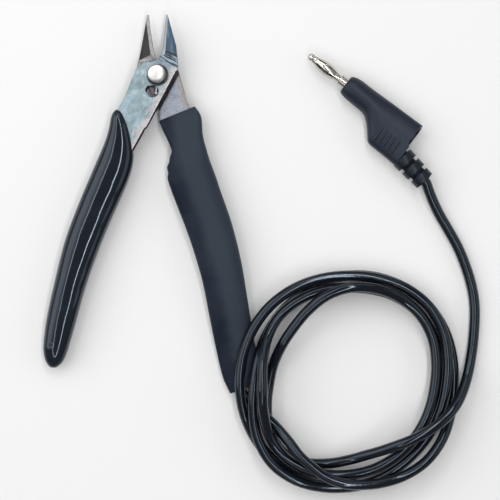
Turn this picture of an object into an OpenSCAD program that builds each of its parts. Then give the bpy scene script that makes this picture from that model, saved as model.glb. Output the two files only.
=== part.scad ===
// Hot wire cutter: a lapped side cutter whose right handle carries a current lead
// with a coil and a stackable lantern plug. Millimetres, Z up, the table is z = 0.
// The cutter lies flat with its jaws toward +Y; the origin is under its middle.

/* [Steel halves] */
// Thickness of each stamped half
plate_t = 2.6; // [2.2:0.1:3]
// Height of the plane between the halves
lap_z = 5.2; // [5:0.1:5.4]
// Running gap between the lapped faces
lap_gap = 0.1; // [0.06:0.02:0.2]
// Angle by which the right handle lies inside the left one's mirror image
handle_set = 4.8; // [4:0.2:5.6]
// Length of the jaws from the pivot to their tips
jaw_len = 21; // [19:0.5:23]
// Thickness left at each jaw's tip
tip_t = 0.9; // [0.6:0.1:1.6]
// Width of the ground strip along the front jaw's edge
front_strip = 0.9; // [0.5:0.1:1.4]
// Width of the ground strip along the rear jaw's edge
rear_strip = 1.2; // [0.6:0.1:1.8]
// Slope of the ground strip on the front jaw
strip_slope = 38; // [25:1:50]
// Slope of the rear jaw's facet
facet_slope = 24; // [15:1:35]

/* [Pivot and spring] */
// Radius of the rivet's shank
shank_r = 2.0; // [1.6:0.1:2.2]
// Radial running gap of the front half on the shank
pivot_fit = 0.05; // [0.02:0.01:0.1]
// Radius of the domed head
head_r = 3.55; // [3.2:0.05:4]
// Height of the domed head
head_h = 1.5; // [1:0.1:2]
// Radius of the peened head underneath
foot_r = 3.0; // [2.6:0.1:3.4]
// Height of the peened head underneath
foot_h = 1.0; // [0.6:0.1:1.4]
// Radius of the spring hole below the rivet
spring_hole_r = 2.1; // [1.8:0.1:2.4]
// Diameter of the spring wire
wire_d = 1.0; // [0.8:0.05:1.1]
// Radius of the spring's loop round the rivet
loop_r = 3.6; // [3.5:0.05:3.7]

/* [Grips and sleeve] */
// Distance of the left grip's end from the pivot, along the cutter
grip_reach = 102.6; // [98:0.2:107]
// Distance of the left grip's end from the pivot, sideways
grip_out = 36.6; // [34:0.2:39]
// Distance of the sleeve's end from the pivot, along the cutter
sleeve_reach = 109.6; // [105:0.2:114]
// Distance of the sleeve's end from the pivot, sideways
sleeve_out = 31.4; // [29:0.2:34]
// Cover of the grip over the tang's outer edge
grip_cover = 1.3; // [1.1:0.1:1.5]
// Gap between a tang and its grip
grip_fit = 0.1; // [0.05:0.05:0.2]
// Wall of the shrink sleeve
sleeve_wall = 0.6; // [0.4:0.1:0.7]

/* [Lead] */
// Diameter over the lead's insulation
lead_d = 3.7; // [3:0.1:3.8]
// Height from one crossing layer of the coil to the next
layer_h = 4.3; // [4.2:0.1:4.6]
// Diameter of the stripped strands
strand_d = 1.1; // [0.8:0.1:1.2]

/* [Plug] */
// Radius of the plug's barrel
barrel_r = 4.4; // [4.2:0.05:4.45]
// Length from the nose to the rear face
shell_len = 30.9; // [29:0.1:33]
// Half thickness of the wing
wing_r = 3.7; // [3.4:0.1:4]
// Radius of the stacking socket
socket_r = 2.0; // [1.95:0.01:2.05]
// Depth of the stacking socket
socket_len = 16.6; // [12:0.1:18]
// Radius of the pin's core
core_r = 1.0; // [0.8:0.05:1.2]
// Greatest radius of the sprung cage
cage_r = 2.2; // [2.05:0.05:2.3]
// Number of leaves in the cage
leaves = 6; // [4:2:8]
// Length of the ribbed strain relief
relief_len = 12.0; // [11.9:0.1:14]
// Number of ribs on the strain relief
relief_ribs = 3; // [2:1:4]

/* [Output] */
// Node to draw

/* [Hidden] */
$fn = 64;

// Places of the pivot, the coil's middle and the plug's nose in the row's frame
pivot = [1.05, 45.3, 0];
coil_at = [68.4, -63.2, 0];
plug_at = [67.0, 42.2, 4.5];
plug_turn = -38;

// Heights of the plates' faces
front_lo = lap_z + lap_gap / 2;
front_hi = front_lo + plate_t;
rear_hi = lap_z - lap_gap / 2;
rear_lo = rear_hi - plate_t;
eps = 0.01;

// One half seen from above, in the front half's place, measured from the pivot
edge_at = [2.2, 10];
tip_at = [3.0, jaw_len];
jaw_outline = [tip_at + [0.6, 0], tip_at, edge_at, [1.5, 7.0], [0.3, 5.4], [-1.75, 4.4],
    [-4.4, 4.1], [-5.0, 0], [-2.0, -5.0], [2.5, -5.0], [7.1, 1.2], [7.3, 3.2], [6.6, 10]];
rear_edge = [1.6, 10];
rear_jaw = [tip_at + [0.6, 0], tip_at, [2.5, 16.2], rear_edge, [1.1, 8.0], [0.3, 5.8], [-1.75, 4.4],
    [-4.4, 4.1], [-5.0, 0], [-2.0, -5.0], [2.5, -5.0], [7.1, 1.2], [7.15, 3.2], [6.5, 6.1], [5.75, 9.5]];
neck_top = [[-3.4, -18.6], [7.1, 1.2], [4.0, 4.0], [-4.4, 4.1], [-7.2, 2.1], [-11.4, -8.0]];
neck_notch = [-4.2, -19.2];
// Bevel under the front half's edge, where it closes over the sleeve's mouth: width, height and ends
lap_turn = atan2(neck_top[1][1] - neck_top[0][1], neck_top[1][0] - neck_top[0][0]);
bevel_w = 3.6;
bevel_h = 2.05;
bevel_ends = [-1.5, 6.5];
rear_neck = [[-4.05, -19.05], [-2.4, -15.75], [-1.25, -11.45], [7.1, 1.2], [4.0, 4.0], [-4.4, 4.1],
    [-7.2, 2.1], [-10.95, -8.0]];
edge_turn = -atan((tip_at[0] - edge_at[0]) / (tip_at[1] - edge_at[1]));
rear_turn = -atan((tip_at[0] - rear_edge[0]) / (tip_at[1] - rear_edge[1]));
grind_at = [2.0, 8.5, 0];
grind_turn = -30;
grind_len = jaw_len - 9.5;
strip_drop = 0.2;
strip_fall = 7.3;
facet_base = [[0, 0], [9, -3.4], [9, jaw_len], [0, jaw_len]];
// Size of the blocks that cut a solid off flat
block = 60;

// Rows across the left grip: outer point, inner point, middle height, half thickness, squareness.
// The last rows are measured from the grip's end
grip_tip = [-grip_out, -grip_reach, -grip_out, -grip_reach, 0, 0, 0];
grip_rows = concat([
    [-14.35, -11.40, -7.80, -26.95, 6.2, 3.8, 4.0],
    [-16.30, -15.40, -7.75, -29.75, 5.9, 4.2, 3.4],
    [-18.20, -23.10, -9.10, -33.60, 5.4, 4.6, 2.8],
    [-20.80, -29.05, -10.30, -37.45, 5.1, 4.9, 2.6],
    [-27.10, -43.75, -15.35, -48.90, 5.0, 5.0, 2.6],
    [-32.40, -57.75, -20.60, -61.60, 5.0, 5.0, 2.6],
    [-35.90, -71.75, -25.20, -74.70, 5.0, 5.0, 2.6]], [for (r = [
    [-2.40, 16.85, 7.70, 14.60, 4.7, 4.6, 2.6],
    [-3.50, 7.05, 5.10, 6.00, 4.3, 3.8, 2.6],
    [-2.60, 2.15, 3.20, 1.80, 4.2, 2.4, 2.4],
    [-1.00, 0.10, 1.00, 0, 4.2, 0.8, 2.2]]) grip_tip + r]);
// Cover over the tang's inner edge at the first six rows
inner_cover = [0.8, 2.3, 3.7, 3.7, 3.7, 3.7];
// The right grip is trimmed to rows 2 to 6 and squeezed by the sleeve
squeeze_out = 0.6;
squeeze_in = 2.6;
right_end = [-36.75, -75.65, -26.25, -78.40, 4.9, 4.9, 2.6];
right_z = [[4.4, 2.8], [4.5, 3.2], [4.7, 3.6], [4.7, 3.7], [4.5, 3.5], [4.2, 3.1]];
right_power = 2.8;
// Bow of the left grip's mouth and rounding of a mouth's rim
lip_bow = 1.8;
lip_round = 0.3;
grip_sides = 20;

// Rows across the sleeve: inner point, outer point, lower and upper height, squareness.
// The last rows are measured from the sleeve's end
sleeve_tip = [sleeve_out, -sleeve_reach, sleeve_out, -sleeve_reach, 0, 0, 0];
sleeve_rows = concat([
    [0.30, -16.00, 13.10, -11.00, 1.6, 6.1, 10],
    [1.60, -19.20, 15.20, -14.35, 0.8, 7.6, 7],
    [3.90, -25.00, 15.90, -21.40, 0.6, 8.2, 5],
    [3.95, -28.80, 17.00, -25.55, 0.3, 9.2, 4],
    [3.25, -33.25, 18.20, -29.40, 0.0, 10.2, 3],
    [3.85, -37.45, 19.60, -33.25, 0.0, 10.4, 3],
    [6.30, -44.30, 21.70, -39.40, 0.0, 10.4, 3],
    [11.40, -57.75, 26.10, -52.15, 0.0, 10.4, 3],
    [15.60, -71.75, 29.40, -65.60, 0.0, 10.2, 3]], [for (r = [
    [-13.00, 23.85, 0.30, 30.15, 0.0, 8.6, 3],
    [-10.90, 13.35, 2.20, 18.25, 0.0, 6.2, 3],
    [-8.50, 3.55, 4.50, 8.10, 0.0, 5.4, 3],
    [-6.00, -2.05, 5.60, 2.25, 0.0, 5.2, 3]]) sleeve_tip + r]);
sleeve_sides = 24;

// Lead under the sleeve, measured from the pivot, at its lower end from the sleeve's end
handle_route = concat([[5.8, -32.4, 5.2], [6.3, -36.8, 5.2], [8.9, -43.5, 5.2], [11.4, -50.2, 5.2],
    [14.0, -56.8, 5.2], [16.1, -63.8, 5.2], [18.1, -70.7, 5.1], [19.5, -77.7, 4.8]],
    [for (p = [[-10.7, 24.9, 4.2], [-9.6, 19.6, 3.5], [-8.5, 14.2, 3.0], [-7.4, 9.2, 2.8],
    [-5.9, 4.4, 2.7], [-3.25, -0.3, 2.6]]) p + [sleeve_out, -sleeve_reach, 0]]);
// Free stretch from the sleeve to the coil, in the row's frame
tail_route = [
    [32.0, -67.6, 2.8], [35.2, -70.9, 4.6], [39.0, -74.3, 6.1], [43.2, -78.4, 6.7],
    [47.0, -82.7, 8.8], [50.6, -87.3, 10.6], [55.0, -91.2, 11.4], [59.5, -94.4, 11.6],
    [64.1, -96.3, 11.6]];
// Coil: radius and layer at every 45 degrees, anticlockwise from its lowest point
coil_knots = [
    [34.0, 2.25], [37.1, 1.7], [36.7, 0.0], [39.2, 0.0], [38.3, 0.0], [34.75, 0.0],
    [33.6, 2.0], [38.5, 1.45], [35.5, 1.0], [32.65, 1.0], [33.65, 1.0], [39.0, 1.0],
    [38.3, 1.0], [39.4, 1.4], [38.5, 1.5], [37.8, 0.0], [36.2, 0.0], [32.2, 0.0],
    [31.5, 0.0], [34.9, 0.0], [34.1, 1.0], [34.6, 1.05], [30.75, 3.25], [33.8, 1.3],
    [31.1, 1.25], [28.8, 1.5], [29.5, 1.15], [34.6, 1.1], [34.3, 2.1], [28.3, 1.75],
    [28.3, 0.0], [33.4, 0.0], [26.0, 1.0]];
knot_turn = 45;
rings_per_knot = 3;
// Free stretch from the coil to the strain relief, in the row's frame
run_route = [
    [73.4, -87.6, 7.6], [78.4, -85.9, 9.8], [83.2, -84.0, 11.9], [87.9, -82.1, 13.2],
    [92.6, -79.9, 13.3], [97.3, -77.1, 12.6], [101.5, -73.8, 11.4], [105.1, -69.6, 9.8],
    [107.6, -65.2, 7.2], [109.6, -60.0, 4.4], [111.3, -52.7, 2.2], [112.2, -45.0, 1.85],
    [112.5, -37.6, 1.85], [112.0, -31.7, 1.85], [110.6, -25.7, 1.85], [108.7, -20.1, 1.85],
    [106.4, -14.7, 1.85], [103.2, -8.9, 1.85], [100.2, -3.8, 1.95], [97.9, 0.8, 2.7],
    [96.1, 5.0, 3.9]];
lead_sides = 8;

// Plug measures along its axis, from the nose rearward
nose_len = 2.6;
nose_r = 3.4;
body_r = 3.0;
collar_r = 1.95;
collar_from = -2.6;
body_from = 1.6;
body_to = shell_len - 1.3;
mouth_r = 3.4;
mouth_tilt = 8;
ball_r = 1.35;
ball_at = -15.2;
seat_fit = 0.02;
relief_root = [shell_len, -8.1];
relief_tilt = -8;
relief_core = 2.7;
relief_rib_r = [4.1, 3.95, 3.7, 3.5];
relief_from = 0.35;
relief_pitch = 4.3;
relief_rib = 2.9;
lead_end_x = 24;
saddle = [16.5, 28];
wing_spots = [[14.5, -3.5], [21.3, -8.2], [28, -8.75], [28.5, -3]];
rib_from = 19.6;
rib_step = 1.9;
rib_low = -7.6;
rib_lean = 4.6;
rib_count = 5;
solder_at = [18.1, -3.7];
solder_ball = 1.15;

// Small helpers
function unit(v) = v / norm(v);
function mix(a, b, t) = a + (b - a) * t;
function power(x, n) = sign(x) * pow(abs(x), 2 / n);
function catmull(a, b, c, d, t) = 0.5 * (2 * b + (c - a) * t + (2 * a - 5 * b + 4 * c - d) * t * t
    + (3 * b - a - 3 * c + d) * t * t * t);
function smooth(p, steps) = let (n = len(p) - 1) concat(
    [for (i = [0 : n - 1]) for (j = [0 : steps - 1])
        catmull(p[max(i - 1, 0)], p[i], p[i + 1], p[min(i + 2, n)], j / steps)], [p[n]]);
function slice(list, from, to) = [for (i = [from : to]) list[i]];
function flip(list) = [for (i = [len(list) - 1 : -1 : 0]) list[i]];
function flat(lists) = [for (l = lists) for (v = l) v];
function raise(p) = p * p * (3 - 2 * p);

// Closed skin over rings of points; a loop joins its last ring to its first
function middle(ring) = [for (p = ring) 1] * ring / len(ring);
function quad(p, a, b, c, d) = norm(p[a] - p[c]) <= norm(p[b] - p[d]) ?
    [[a, d, c], [a, c, b]] : [[a, d, b], [d, c, b]];
function skin_faces(p, rings, s, loop) = concat(
    flat([for (i = [0 : rings - (loop ? 1 : 2)]) for (k = [0 : s - 1])
        let (j = (i + 1) % rings, l = (k + 1) % s)
        quad(p, i * s + k, i * s + l, j * s + l, j * s + k)]),
    loop ? [] : [for (k = [0 : s - 1]) [rings * s, k, (k + 1) % s]],
    loop ? [] : [for (k = [0 : s - 1]) let (o = (rings - 1) * s)
        [rings * s + 1, o + (k + 1) % s, o + k]]);

module skin(rings, loop = false) {
    n = len(rings);
    p = concat(flat(rings), loop ? [] : [middle(rings[0]), middle(rings[n - 1])]);
    polyhedron(p, skin_faces(p, n, len(rings[0]), loop), convexity = 10);
}

// Round tube along points, its rings square to the given directions
function carry(dirs, n, i) = i == len(dirs) ? [] :
    let (m = unit(n - (n * dirs[i]) * dirs[i])) concat([m], carry(dirs, m, i + 1));
function directions(p) = [for (i = [0 : len(p) - 1])
    unit(p[min(i + 1, len(p) - 1)] - p[max(i - 1, 0)])];

module tube(points, dirs, r, sides, start = [0, 0, 1]) {
    normals = carry(dirs, start, 0);
    skin([for (i = [0 : len(points) - 1]) [for (k = [0 : sides - 1])
        points[i] + r * (cos(360 * k / sides) * normals[i]
        + sin(360 * k / sides) * cross(dirs[i], normals[i]))]]);
}

// Points of the plug's own plane in the row's frame
function from_plug(p) = plug_at + [p[0] * cos(plug_turn) - p[1] * sin(plug_turn),
    p[0] * sin(plug_turn) + p[1] * cos(plug_turn), 0];
function relief_point(s) = from_plug(relief_root + s * [cos(relief_tilt), sin(relief_tilt)]);

// The whole lead as one line, so that its stretches meet face to face
function coil_point(k) = let (i = floor(k), t = k - i, n = len(coil_knots) - 1,
        r = catmull(coil_knots[max(i - 1, 0)][0], coil_knots[i][0],
            coil_knots[min(i + 1, n)][0], coil_knots[min(i + 2, n)][0], t),
        h = mix(coil_knots[i][1], coil_knots[min(i + 1, n)][1], raise(t)), a = k * knot_turn)
    coil_at + [r * sin(a), -r * cos(a), lead_d / 2 + layer_h * h];
coil_route = [for (k = [0 : 1 / rings_per_knot : len(coil_knots) - 1 + eps]) coil_point(k)];
plug_back = (lead_end_x - relief_root[0]) / cos(relief_tilt);
plug_route = [for (s = [relief_len, relief_len / 2, 0, plug_back]) relief_point(s)];
lead = concat([for (p = handle_route) p + pivot], tail_route, coil_route, run_route, plug_route);
lead_dirs = directions(lead);
tail_from = len(handle_route) - 1;
coil_from = tail_from + len(tail_route) + 1;
coil_to = coil_from + len(coil_route) - 1;
run_to = coil_to + len(run_route) + 1;

module lead_piece(from, to) {
    tube(slice(lead, from, to), slice(lead_dirs, from, to), lead_d / 2, lead_sides);
}

// Least gap between stretches of the lead that lie over or beside each other
free = slice(lead, tail_from, run_to);
apart = [for (i = [0 : len(free) - 1]) for (j = [i + 8 : len(free) - 1])
    if (j < len(free)) norm(free[i] - free[j])];
echo(least_lead_gap = min(apart) - lead_d);
lead_steps = [for (i = [1 : len(lead) - 1]) norm(lead[i] - lead[i - 1])];
echo(lead_length = lead_steps * [for (s = lead_steps) 1]);

// Steel halves
function inset_row(row, from_outer, from_inner) = let (o = [row[0], row[1]], i = [row[2], row[3]],
        d = unit(i - o), a = o + from_outer * d, b = i - from_inner * d)
    [a[0], a[1], b[0], b[1], row[4], row[5], row[6]];
tang_rows = [for (i = [0 : 5]) inset_row(grip_rows[i], grip_cover, inner_cover[i])];
neck_outline = concat([neck_notch], neck_top, [for (r = tang_rows) [r[0], r[1]]],
    flip([for (r = tang_rows) [r[2], r[3]]]));
rear_outline = concat(rear_neck, [for (i = [1 : 5]) [tang_rows[i][0], tang_rows[i][1]]],
    flip([for (r = tang_rows) [r[2], r[3]]]));
spring_angle = -104.8;
spring_reach = 6.155;
leg_angle = -93.5;
leg_reach = 6.45;
groove_in = loop_r - wire_d / 2 - 0.15;
groove_out = loop_r + wire_d / 2 + 0.15;
groove_t = wire_d + 0.2;
slot_w = wire_d + 0.6;

// Room for the spring in a lapped face, from the face into the plate
module spring_groove() {
    difference() {
        cylinder(r = groove_out, h = groove_t);
        translate([0, 0, -1]) cylinder(r = groove_in, h = groove_t + 2);
    }
}

module spring_slot() {
    rotate([0, 0, leg_angle]) translate([loop_r, -slot_w / 2, 0])
        cube([leg_reach - loop_r, slot_w, groove_t]);
    rotate([0, 0, spring_angle]) translate([spring_reach, 0, -9]) cylinder(r = spring_hole_r, h = 18);
}

// Wedge that grinds a jaw down toward its tip, laid on a face at z = 0
module tip_grind() {
    fall = atan((plate_t - tip_t) / grind_len);
    translate(grind_at) rotate([0, 0, grind_turn]) rotate([-fall, 0, 0])
        translate([-block / 2, 0, 0]) cube(block);
}

module lap_bevel() translate([bevel_ends[0], 0, 0]) rotate([90, 0, 90])
    linear_extrude(bevel_ends[1] - bevel_ends[0])
    polygon([[-bevel_w, 0], [bevel_w, 0], [-bevel_w, 2 * bevel_h]]);

module front_blade() color("lightsteelblue") translate(pivot) difference() {
    translate([0, 0, front_lo]) linear_extrude(plate_t) union() {
        polygon(jaw_outline);
        polygon(neck_outline);
    }
    translate([0, 0, front_lo - 1]) cylinder(r = shank_r + pivot_fit, h = plate_t + 2);
    translate([0, 0, front_lo - eps]) spring_groove();
    translate([0, 0, front_lo - eps]) spring_slot();
    translate([0, 0, front_hi]) tip_grind();
    translate([neck_top[0][0], neck_top[0][1], front_lo - eps]) rotate([0, 0, lap_turn]) lap_bevel();
    translate([edge_at[0], edge_at[1], front_hi - strip_drop]) rotate([0, 0, edge_turn])
        rotate([-strip_fall, 0, 0]) translate([front_strip, -3.2, 0]) rotate([0, -strip_slope, 0])
        translate([-4, 0, 0]) cube([4, 20, 4]);
}

module rear_blade() color("thistle") translate(pivot) difference() {
    translate([0, 0, rear_lo]) linear_extrude(plate_t) mirror([1, 0, 0]) union() {
        polygon(rear_jaw);
        rotate([0, 0, handle_set]) polygon(rear_outline);
    }
    translate([0, 0, rear_lo - 1]) cylinder(r = shank_r + seat_fit, h = plate_t + 2);
    translate([0, 0, rear_hi - groove_t + eps]) spring_groove();
    translate([0, 0, rear_hi - groove_t + eps]) mirror([1, 0, 0])
        rotate([0, 0, handle_set]) spring_slot();
    translate([0, 0, rear_lo]) mirror([0, 0, 1]) mirror([1, 0, 0]) tip_grind();
    mirror([1, 0, 0]) translate([rear_edge[0], rear_edge[1], rear_hi]) rotate([0, 0, rear_turn])
        translate([rear_strip, -2.8, 0]) rotate([0, facet_slope, 0])
        linear_extrude(5) polygon(facet_base);
}

// Rivet: the peened head seats on the rear half, the domed head runs over the front half
module pivot_rivet() color("silver") translate(pivot) {
    top = front_hi + 0.05;
    ball = (head_r * head_r + head_h * head_h) / (2 * head_h);
    union() {
        translate([0, 0, rear_lo - foot_h]) cylinder(r = foot_r, h = foot_h);
        translate([0, 0, rear_lo - eps]) cylinder(r = shank_r, h = top - rear_lo + 2 * eps);
        intersection() {
            translate([0, 0, top + head_h - ball]) sphere(r = ball);
            translate([0, 0, top]) cylinder(r = head_r + 1, h = head_h + 1);
        }
    }
}

// Torsion spring: one leg in each half's hole, its loop rising from one groove to the other
spring_low = rear_hi - 0.05 - wire_d / 2;
spring_high = front_lo + 0.05 + wire_d / 2;
rear_leg = -180 - leg_angle - handle_set;
front_leg = leg_angle + 360;
function around(r, a, z) = [r * cos(a), r * sin(a), z];
loop_route = [for (i = [0 : 30]) let (t = i / 30)
    around(loop_r, mix(rear_leg + 14, front_leg - 14, t), mix(spring_low, spring_high, t))];
spring_route = concat(
    [for (p = [[0, -1.5], [0, -0.8], [0.12, -0.3], [0.5, 0], [1.2, 0], [1.75, 0]])
        around(leg_reach - p[0], rear_leg, spring_low + p[1])],
    [around(loop_r + 0.2, rear_leg + 5, spring_low)], loop_route,
    [around(loop_r + 0.2, front_leg - 5, spring_high)],
    [for (p = [[1.75, 0], [1.2, 0], [0.5, 0], [0.12, 0.3], [0, 0.8], [0, 1.5]])
        around(leg_reach - p[0], front_leg, spring_high + p[1])]);

module return_spring() color("gainsboro") translate(pivot)
    tube(spring_route, directions(spring_route), wire_d / 2, 8, around(1, rear_leg, 0));

// Grips and sleeve
function round_ring(row, sides, n) = let (c = [(row[0] + row[2]) / 2, (row[1] + row[3]) / 2, row[4]],
        h = [(row[2] - row[0]) / 2, (row[3] - row[1]) / 2, 0])
    [for (k = [0 : sides - 1]) let (a = 360 * (k + 0.5) / sides)
        c + power(cos(a), n) * h + [0, 0, row[5] * power(sin(a), n)]];
function square_ring(row, sides) = let (c = [(row[0] + row[2]) / 2, (row[1] + row[3]) / 2, row[4]],
        h = [(row[2] - row[0]) / 2, (row[3] - row[1]) / 2, 0])
    [for (k = [0 : sides - 1]) let (a = 360 * (k + 0.5) / sides, m = max(abs(cos(a)), abs(sin(a))))
        c + cos(a) / m * h + [0, 0, row[5] * sin(a) / m]];
function room(i, lo, hi) = let (r = inset_row(grip_rows[i], grip_cover - grip_fit,
        inner_cover[min(i, 5)] - grip_fit))
    [r[0], r[1], r[2], r[3], (lo + hi) / 2, (hi - lo) / 2 + grip_fit];
function room_rows(from, lo, hi) = concat([for (i = [from : 5]) room(i, lo, hi)],
    [mix(room(5, lo, hi), room(6, lo, hi), 0.015)]);

// Bows a ring at the mouth of a grip outward along the handle, most at its middle
function bow(ring, row, by) = let (o = [row[0], row[1]], i = [row[2], row[3]], d = unit(i - o),
        half = norm(i - o) / 2)
    [for (p = ring) let (u = ([p[0], p[1]] - (o + i) / 2) * d / half)
        p + by * max(1 - u * u, 0) * [-d[1], d[0], 0]];

module grip(rows, room_from, lo, hi, lip) {
    rooms = flip([for (r = room_rows(room_from, lo, hi)) square_ring(r, grip_sides)]);
    last = len(rooms) - 1;
    rim = inset_row(rows[0], lip_round, lip_round);
    rim_row = [rim[0], rim[1], rim[2], rim[3], rim[4], rim[5] - lip_round, rim[6]];
    skin(concat(slice(rooms, 0, last - 1), [bow(rooms[last], room(room_from, lo, hi), lip),
        bow(round_ring(rim_row, grip_sides, rim[6]), rows[0], lip),
        bow(round_ring(rows[0], grip_sides, rows[0][6]), rows[0], lip - lip_round)],
        [for (i = [1 : len(rows) - 1]) round_ring(rows[i], grip_sides, rows[i][6])]));
}

module left_grip() color("black") translate(pivot)
    grip(smooth(grip_rows, 3), 0, front_lo, front_hi, lip_bow);

right_rows = [for (i = [0 : 5]) let (r = inset_row(i < 5 ? grip_rows[i + 2] : right_end,
        squeeze_out, squeeze_in)) 
    [r[0], r[1], r[2], r[3], right_z[i][0], right_z[i][1], right_power]];

module right_grip() color("black") translate(pivot) mirror([1, 0, 0]) rotate([0, 0, handle_set])
    grip(smooth(right_rows, 3), 2, rear_lo, rear_hi, lip_round);

function sleeve_row(row, wall) = let (r = inset_row(row, wall, wall))
    [r[0], r[1], r[2], r[3], (row[4] + row[5]) / 2, (row[5] - row[4]) / 2 - wall, row[6]];

module shrink_sleeve() color("dimgray") translate(pivot) {
    rows = smooth(sleeve_rows, 2);
    skin(concat([for (r = rows) round_ring(sleeve_row(r, 0), sleeve_sides, r[6])],
        [for (r = flip(rows)) round_ring(sleeve_row(r, sleeve_wall), sleeve_sides, r[6])]),
        loop = true);
}

// Lead, strands and solder at the handle
solder_r = 1.4;
solder_spot = [6.9, -19.8, rear_hi + 0.4];
solder_face = -20.6;
strand_route = [[5.8, -32.4, 5.2], [5.57, -30.4, 5.2], [5.3, -28.0, 5.5], [5.6, -25.5, 5.8],
    [6.4, -23.2, 5.85], [6.9, -21.6, 5.85], [6.9, solder_face, 5.85]];

module handle_lead() color("black") lead_piece(0, tail_from);

module handle_conductor() color("peru") translate(pivot)
    tube(strand_route, directions(strand_route), strand_d / 2, 8);

module handle_solder() color("silver") translate(pivot) intersection() {
    translate(solder_spot) sphere(r = solder_r);
    translate([solder_spot[0] - 5, solder_face, rear_hi]) cube([10, 10, 5]);
}

module lead_tail() color("black") lead_piece(tail_from, coil_from);
module lead_coil() color("black") lead_piece(coil_from, coil_to);
module lead_run() color("black") lead_piece(coil_to, run_to);
module plug_lead() color("black") lead_piece(run_to, len(lead) - 1);

// Plug, drawn along +X of its own frame with the pin toward -X
module at_plug() translate(plug_at) rotate([0, 0, plug_turn]) children();
module along(r, from, to) translate([from, 0, 0]) rotate([0, 90, 0]) cylinder(r = r, h = to - from);
module at_relief() translate([relief_root[0], relief_root[1], 0]) rotate([0, 0, relief_tilt]) children();

module plug_contact() color("gold") at_plug() rotate([0, 90, 0]) difference() {
    union() {
        translate([0, 0, ball_at]) sphere(r = ball_r);
        translate([0, 0, ball_at]) cylinder(r = core_r, h = -ball_at);
        translate([0, 0, collar_from]) cylinder(r = collar_r, h = body_from - collar_from + eps);
        translate([0, 0, body_from]) cylinder(r = body_r, h = body_to - body_from);
    }
    translate([0, 0, body_to - socket_len]) cylinder(r = socket_r, h = socket_len + 1);
}

cage_profile = [[core_r + pivot_fit, -14.2], [core_r + 0.4, -14.2], [core_r + 0.4, -13.4],
    [1.75, -11.8], [cage_r - 0.06, -10.0], [cage_r, -8.6], [cage_r - 0.06, -7.2], [1.75, -5.4],
    [core_r + 0.4, -4.0], [core_r + 0.4, -3.0], [core_r + pivot_fit, -3.0], [core_r + pivot_fit, -4.2],
    [1.45, -5.5], [1.84, -7.2], [1.9, -8.6], [1.84, -10.0], [1.45, -11.7], [core_r + pivot_fit, -13.2]];

module pin_cage() color("silver") at_plug() rotate([0, 90, 0]) difference() {
    rotate_extrude() polygon(cage_profile);
    for (i = [0 : leaves / 2 - 1]) rotate([0, 0, 360 / leaves * i])
        translate([-0.3, -4, -12.6]) cube([0.6, 8, 7.8]);
}

module plug_shell() color("darkslategray") at_plug() difference() {
    union() {
        rotate([0, 90, 0]) cylinder(r1 = nose_r, r2 = barrel_r, h = nose_len);
        along(barrel_r, nose_len - eps, shell_len);
        difference() {
            hull() {
                for (p = wing_spots) translate([p[0], p[1], 0]) sphere(r = wing_r, $fn = 32);
                for (x = saddle) translate([x, 0, 0]) sphere(r = barrel_r - 0.02, $fn = 32);
            }
            translate([shell_len, -block / 2, -block / 2]) cube(block);
        }
        for (side = [-1, 1]) for (i = [0 : rib_count - 1])
            translate([rib_from + rib_step * i, rib_low, side * wing_r])
                rotate([side * rib_lean - 90, 0, 0]) cylinder(r = 0.45, h = 5.6, $fn = 24);
    }
    along(collar_r + seat_fit, -1, body_from + 1);
    along(body_r + seat_fit, body_from, body_to);
    along(mouth_r, body_to - eps, shell_len + 1);
    translate([shell_len, 0.5 - barrel_r, -barrel_r - 1]) rotate([0, -mouth_tilt, 0])
        cube([5, 2 * barrel_r, 2 * barrel_r + 2]);
    at_relief() along(lead_d / 2 + 0.05, plug_back - 0.05, 3);
    translate([lead_end_x, relief_point_y, 0]) rotate([0, 0, strand_turn]) along(1.3, -1, strand_len);
    translate([solder_at[0], solder_at[1], 0]) sphere(r = solder_ball + 0.15);
}

// Strands inside the shell, straight from the lead's cut end to the contact
relief_point_y = relief_root[1] + plug_back * sin(relief_tilt);
strand_turn = atan2(solder_at[1] - relief_point_y, solder_at[0] - lead_end_x);
strand_len = norm(solder_at - [lead_end_x, relief_point_y]);

module plug_conductor() color("peru") at_plug() difference() {
    translate([lead_end_x, relief_point_y, 0]) rotate([0, 0, strand_turn])
        along(strand_d / 2, -2, strand_len - 0.5);
    at_relief() translate([plug_back, -5, -5]) cube([10, 10, 10]);
}

module plug_solder() color("silver") at_plug() difference() {
    translate([solder_at[0], solder_at[1], 0]) sphere(r = solder_ball);
    along(body_r, body_from, body_to);
    translate([lead_end_x, relief_point_y, 0]) rotate([0, 0, strand_turn])
        along(strand_d / 2, -2, strand_len - 0.5);
}

module strain_relief() color("darkslategray") at_plug() difference() {
    at_relief() union() {
        along(relief_core, -2, relief_len);
        for (i = [0 : relief_ribs - 1])
            along(relief_rib_r[i], relief_from + relief_pitch * i,
                relief_from + relief_pitch * i + relief_rib);
    }
    at_relief() along(lead_d / 2 + seat_fit, -9, relief_len + 1);
    translate([shell_len - block, -block / 2, -block / 2]) cube(block);
}

front_blade();
rear_blade();
pivot_rivet();
return_spring();
left_grip();
right_grip();
shrink_sleeve();
handle_lead();
handle_conductor();
handle_solder();
lead_tail();
lead_coil();
lead_run();
strain_relief();
plug_shell();
plug_contact();
pin_cage();
plug_lead();
plug_conductor();
plug_solder();
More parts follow.
